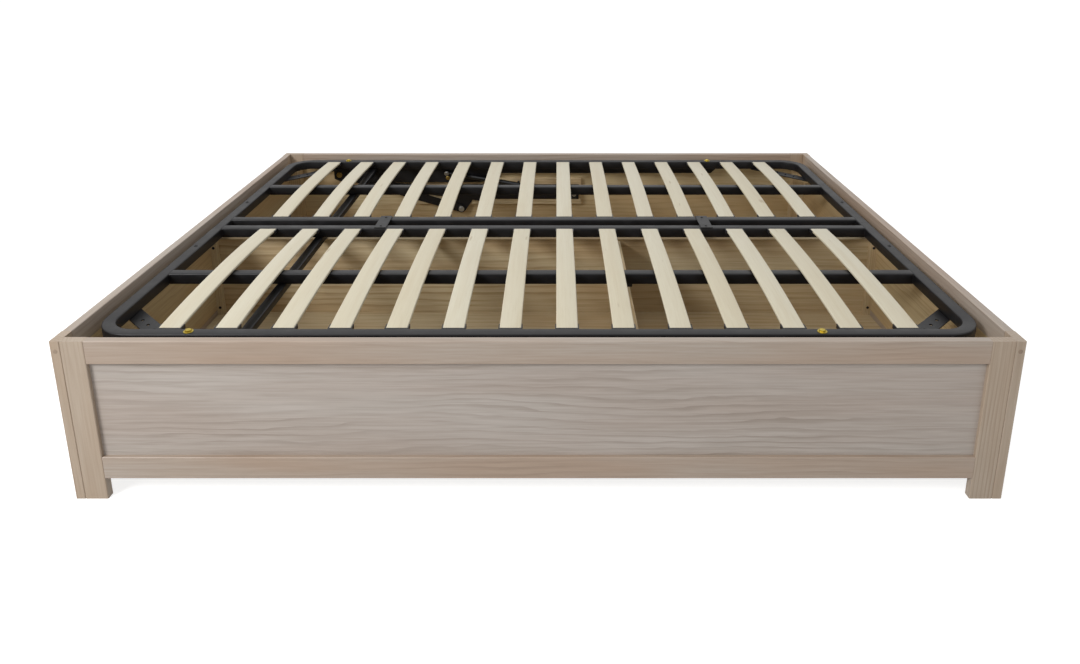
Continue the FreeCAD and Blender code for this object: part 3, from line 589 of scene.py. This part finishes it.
def moulded_plastic(name, colour, sheen):
    """Polypropylene from a lightly textured mould: even black with a soft sheen."""
    material, tree = new_material(name)
    where = add(tree, "ShaderNodeTexCoord").outputs["Object"]
    # The mould's texture is about 0.2 mm; it is drawn at 1 mm so that it shows.
    skin = add(tree, "ShaderNodeTexNoise", {"Vector": where, "Scale": 1000.0, "Detail": 1.0}).outputs["Fac"]
    tone = add(tree, "ShaderNodeMix", {0: skin, 6: linear(colour), 7: linear(sheen)},
               data_type="RGBA").outputs[2]
    bump = add(tree, "ShaderNodeBump", {"Height": skin, "Distance": 0.00004}).outputs[0]
    shader = add(tree, "ShaderNodeBsdfPrincipled", {"Base Color": tone, "Roughness": 0.45, "IOR": 1.49,
                                                    "Normal": bump})
    add(tree, "ShaderNodeOutputMaterial", {"Surface": shader.outputs[0]})
    return material


black_polypropylene = moulded_plastic("black_polypropylene", "#0f0e10", "#1c1b1e")
for side in ("front", "back"):
    finish_with(black_polypropylene, f"slat_holders_{side}_row")


# ---------------------------------------------------------- lift mechanism
# Laser-cut plates, coated as the frame is: a bracket under each long tube, a base
# plate on its board, and two links between them. Shoulder bolts are the pivots.

for part in ("lift_bracket", "base_plate", "long_link", "short_link"):
    for side in ("front", "back"):
        finish_with(black_coat, f"{part}_{side}")

pivots = {joint["name"]: joint.get("pos_m") for joint in frame["record"]["behaviour"]["joints"]}
(long_x, _, long_z), (short_x, _, short_z) = pivots["lift"], pivots["short_link_turn"]
tilt_x, _, tilt_z = pivots["frame_tilt"]
bright_zinc = plated_steel("bright_zinc", "#b9bbbd", "#a3a4a3", roughness=0.28)
brass_zinc = plated_steel("brassy_zinc", "#b59c5c", "#97804a", roughness=0.3)
bracket_plate = 0.004
link_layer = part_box("long_link_back")[1].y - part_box("short_link_back")[1].y
bracket_bolt_x, bracket_bolt_z = -0.398, 0.309
for side, sy in (("front", -1), ("back", 1)):
    inward = (0, -sy, 0)
    short_face = sy * min(abs(corner.y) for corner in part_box(f"base_plate_{side}"))
    long_face = short_face + sy * link_layer
    bracket_face = sy * (reach_y - bracket_plate)
    heads = hexagon_head((long_x, long_face, long_z), inward, across=0.014, height=0.005)
    heads += hexagon_head((short_x, short_face, short_z), inward, across=0.013, height=0.0045)
    make_piece(f"link_bolts_{side}", heads, bright_zinc, "box", smooth=25)
    # This head is low, because the strut's cylinder swings past it when the bed opens.
    heads = [pan_head((bracket_bolt_x, bracket_face, bracket_bolt_z), inward, radius=0.0085, height=0.0022)]
    heads += hexagon_head((tilt_x, bracket_face, tilt_z), inward, across=0.013, height=0.005)
    make_piece(f"bracket_heads_{side}", heads, brass_zinc, "slat_frame", smooth=30)


# ------------------------------------------------------------- board screws
# Two black wood screws near the top edge of each mounting board, which carries the
# base plate, hold it to the long side of the box.

screw_inset, screw_drop, second_screw_x = 0.020, 0.0125, -0.115
for side, sy in (("front", -1), ("back", 1)):
    low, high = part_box(f"mounting_board_{side}")
    inner_face = sy * min(abs(low.y), abs(high.y))
    heads = [pan_head((x, inner_face, high.z - screw_drop), (0, -sy, 0), radius=0.0055, height=0.003)
             for x in (low.x + screw_inset, second_screw_x)]
    make_piece(f"board_screws_{side}", heads, black_coat, "box")


# -------------------------------------------------------------- gas struts
# A black painted cylinder, rolled in at its ends, hangs from the bracket's pin. A
# chromed rod slides in it, and the rod's eye turns on the base plate.

def painted_steel(name, colour, sheen, roughness):
    """Wet-painted drawn tube: deep gloss black with very slight waves."""
    material, tree = new_material(name)
    where = add(tree, "ShaderNodeTexCoord").outputs["Object"]
    waves = add(tree, "ShaderNodeTexNoise", {"Vector": where, "Scale": 60.0, "Detail": 2.0}).outputs["Fac"]
    tone = add(tree, "ShaderNodeMix", {0: waves, 6: linear(colour), 7: linear(sheen)},
               data_type="RGBA").outputs[2]
    bump = add(tree, "ShaderNodeBump", {"Height": waves, "Distance": 0.00005}).outputs[0]
    shader = add(tree, "ShaderNodeBsdfPrincipled", {"Base Color": tone, "Roughness": roughness, "IOR": 1.5,
                                                    "Normal": bump})
    add(tree, "ShaderNodeOutputMaterial", {"Surface": shader.outputs[0]})
    return material


# Lengths run from the upper eye's middle towards the lower eye's. Those of the rolled
# groove are counted back from the shell's mouth, and the rod's neck from the lower eye.
gloss_black = painted_steel("gloss_black_cylinder", "#0a0a0b", "#1b1b1d", roughness=0.18)
chrome = plated_steel("ground_chrome_rod", "#d9dadd", "#c4c6ca", roughness=0.08)
eye_radius, eye_half, eye_ease = 0.009, 0.005, 0.0008
shell_start, shell_length, shell_radius, shoulder, rolled_end = 0.025, 0.330, 0.010, 0.004, 0.003
groove_top, groove_end, groove_slope, groove_depth = 0.021, 0.016, 0.001, 0.0008
rod_radius, rod_start, rod_gap, neck_radius, joined = 0.004, 0.195, 0.0004, 0.0055, 0.0005
neck_cone, neck_start, neck_end, pin_radius = 0.026, 0.024, 0.012, 0.006
for side, sy in (("front", -1), ("back", 1)):
    upper_low, upper_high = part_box(f"strut_cylinder_{side}")
    lower_low, lower_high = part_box(f"strut_rod_{side}")
    y = (upper_low.y + upper_high.y) / 2
    top = np.array([upper_low.x + eye_radius, y, upper_high.z - eye_radius])
    foot = np.array([lower_high.x - eye_radius, y, lower_low.z + eye_radius])
    length = np.linalg.norm(foot - top)
    way = (foot - top) / length
    eye = [(-eye_half, eye_radius - eye_ease), (eye_ease - eye_half, eye_radius),
           (eye_half - eye_ease, eye_radius), (eye_half, eye_radius - eye_ease)]
    mouth = shell_start + shell_length
    shell = turned([(eye_radius - joined, neck_radius), (shell_start, neck_radius),
                    (shell_start, shell_radius - shoulder), (shell_start + shoulder, shell_radius),
                    (mouth - groove_top, shell_radius),
                    (mouth - groove_top + groove_slope, shell_radius - groove_depth),
                    (mouth - groove_end - groove_slope, shell_radius - groove_depth),
                    (mouth - groove_end, shell_radius), (mouth - rolled_end, shell_radius),
                    (mouth, shell_radius - rolled_end), (mouth, rod_radius + rod_gap)], top, way)
    make_piece(f"gas_cylinder_{side}", [shell, turned(eye, top, (0, 1, 0))], gloss_black,
               "strut_cylinders", replaced=[f"strut_cylinder_{side}"])
    rod = turned([(rod_start, rod_radius), (length - neck_cone, rod_radius),
                  (length - neck_start, neck_radius), (length - neck_end, neck_radius),
                  (length - eye_radius + joined, rod_radius)], top, way)
    pin_reach = max(abs(lower_low.y), abs(lower_high.y)) - abs(y)
    pin = turned([(eye_half - joined, pin_radius), (pin_reach, pin_radius)], foot, (0, sy, 0))
    make_piece(f"chrome_rod_{side}", [rod, turned(eye, foot, (0, 1, 0)), pin], chrome, "strut_rods",
               replaced=[f"strut_rod_{side}"])
    nut = hexagon_head(foot - (0, sy * eye_half, 0), (0, -sy, 0), across=0.011, height=0.004)
    make_piece(f"strut_nut_{side}", nut, bright_zinc, "strut_rods", smooth=25)
    pin_end = sy * min(abs(corner.y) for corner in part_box(f"lift_bracket_{side}"))
    nut = hexagon_head((top[0], pin_end, top[2]), (0, -sy, 0), across=0.011, height=0.004)
    make_piece(f"strut_pin_nut_{side}", nut, bright_zinc, "slat_frame", smooth=25)


# ------------------------------------------------------------------ painted shadow block
# A small black block under the front middle rail, over the cross divider. It is a painted
# shadow: it stands for the shade that falls under the rail there, and is no part of the bed.

low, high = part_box("cross_divider")
shadow_block_x = (low.x + high.x) / 2
low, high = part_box("mid_rail_front")
shadow_block_y = (low.y + high.y) / 2
shadow_block_wide, shadow_block_long, shadow_block_high, shadow_block_corner = 0.014, 0.024, 0.008, 0.002
shadow_block_z = under - shadow_block_high / 2
shadow_block = straight(soft_square(shadow_block_wide, shadow_block_high, shadow_block_corner), (shadow_block_x, shadow_block_y - shadow_block_long / 2, shadow_block_z),
               (shadow_block_x, shadow_block_y + shadow_block_long / 2, shadow_block_z))
# Painted shadow: a black block that stands for the shade under the front middle rail.
make_piece("painted_shadow_block", [shadow_block], black_polypropylene, "slat_frame")


# ------------------------------------------------------------------- room
# A plain white floor under even studio light, brighter from the left, and the
# photograph's viewpoint: above the near long side, close, with a short lens.

def seen_or_mirrored(tree):
    """1 where the camera looks straight at it, or by a reflection or through glass, else 0."""
    ray = add(tree, "ShaderNodeLightPath").outputs
    either = add(tree, "ShaderNodeMath", {0: ray["Is Camera Ray"], 1: ray["Is Glossy Ray"]},
                 operation="MAXIMUM").outputs[0]
    return add(tree, "ShaderNodeMath", {0: either, 1: ray["Is Transmission Ray"]},
               operation="MAXIMUM").outputs[0]


def white_floor(name, glow, albedo):
    """Matt white paint that the camera and reflections see near full white, with shadows
    kept: a diffuse surface plus a glow for the rays of seen_or_mirrored."""
    material, tree = new_material(name)
    strength = add(tree, "ShaderNodeMath", {0: seen_or_mirrored(tree), 1: glow},
                   operation="MULTIPLY").outputs[0]
    matt = add(tree, "ShaderNodeBsdfDiffuse", {"Color": (albedo, albedo, albedo, 1)})
    lit = add(tree, "ShaderNodeEmission", {"Color": (1, 1, 1, 1), "Strength": strength})
    both = add(tree, "ShaderNodeAddShader", {0: matt.outputs[0], 1: lit.outputs[0]})
    add(tree, "ShaderNodeOutputMaterial", {"Surface": both.outputs[0]})
    return material


half_floor = 30
floor_corners = [(sx * half_floor, sy * half_floor, 0) for sx, sy in ((-1, -1), (1, -1), (1, 1), (-1, 1))]
floor_mesh = bpy.data.meshes.new("floor")
floor_mesh.from_pydata(floor_corners, [], [(0, 1, 2, 3)])
floor_mesh.materials.append(white_floor("white_floor", glow=0.8, albedo=0.5))
floor = bpy.data.objects.new("floor", floor_mesh)
bpy.context.scene.collection.objects.link(floor)

world = bpy.data.worlds.new("studio")
bpy.context.scene.world = world
world.use_nodes = True
sky = world.node_tree
sky.nodes.clear()
level = add(sky, "ShaderNodeMapRange", {"Value": seen_or_mirrored(sky), "To Min": 0.5,
                                        "To Max": 1.0}).outputs[0]
glow = add(sky, "ShaderNodeBackground", {"Color": (1, 1, 1, 1), "Strength": level})
add(sky, "ShaderNodeOutputWorld", {"Surface": glow.outputs[0]})

# Each lamp's place, the point it is aimed at, its side in metres and its power in watts.
for name, spot, target, size, power in (
    ("key_left", (-3.2, -3.4, 3.0), (0, -0.3, 0.2), 1.6, 172),
    ("fill_right", (3.4, -3.0, 2.2), (0, -0.3, 0.2), 2.6, 8),
    ("top_soft", (-0.6, 0.6, 3.6), (0, 0, 0.3), 1.2, 18),
):
    lamp = bpy.data.lights.new(name, "AREA")
    lamp.size = size
    lamp.energy = power
    light = bpy.data.objects.new(name, lamp)
    light.location = spot
    away = np.array(spot) - np.array(target)
    light.rotation_euler = (math.atan2(math.hypot(away[0], away[1]), away[2]), 0,
                            math.atan2(away[1], away[0]) + math.pi / 2)
    bpy.context.scene.collection.objects.link(light)

lens = bpy.data.cameras.new("camera")
lens.sensor_width = 36
lens.lens = 27.76
lens.shift_x = -0.01567
lens.shift_y = -0.15
looking_down = math.radians(15.5)
camera = bpy.data.objects.new("camera", lens)
camera.location = (0.0414, -2.463, 1.236)
camera.rotation_euler = (math.pi / 2 - looking_down, 0, 0)
bpy.context.scene.collection.objects.link(camera)
bpy.context.scene.camera = camera
bpy.context.scene.view_settings.view_transform = "Standard"
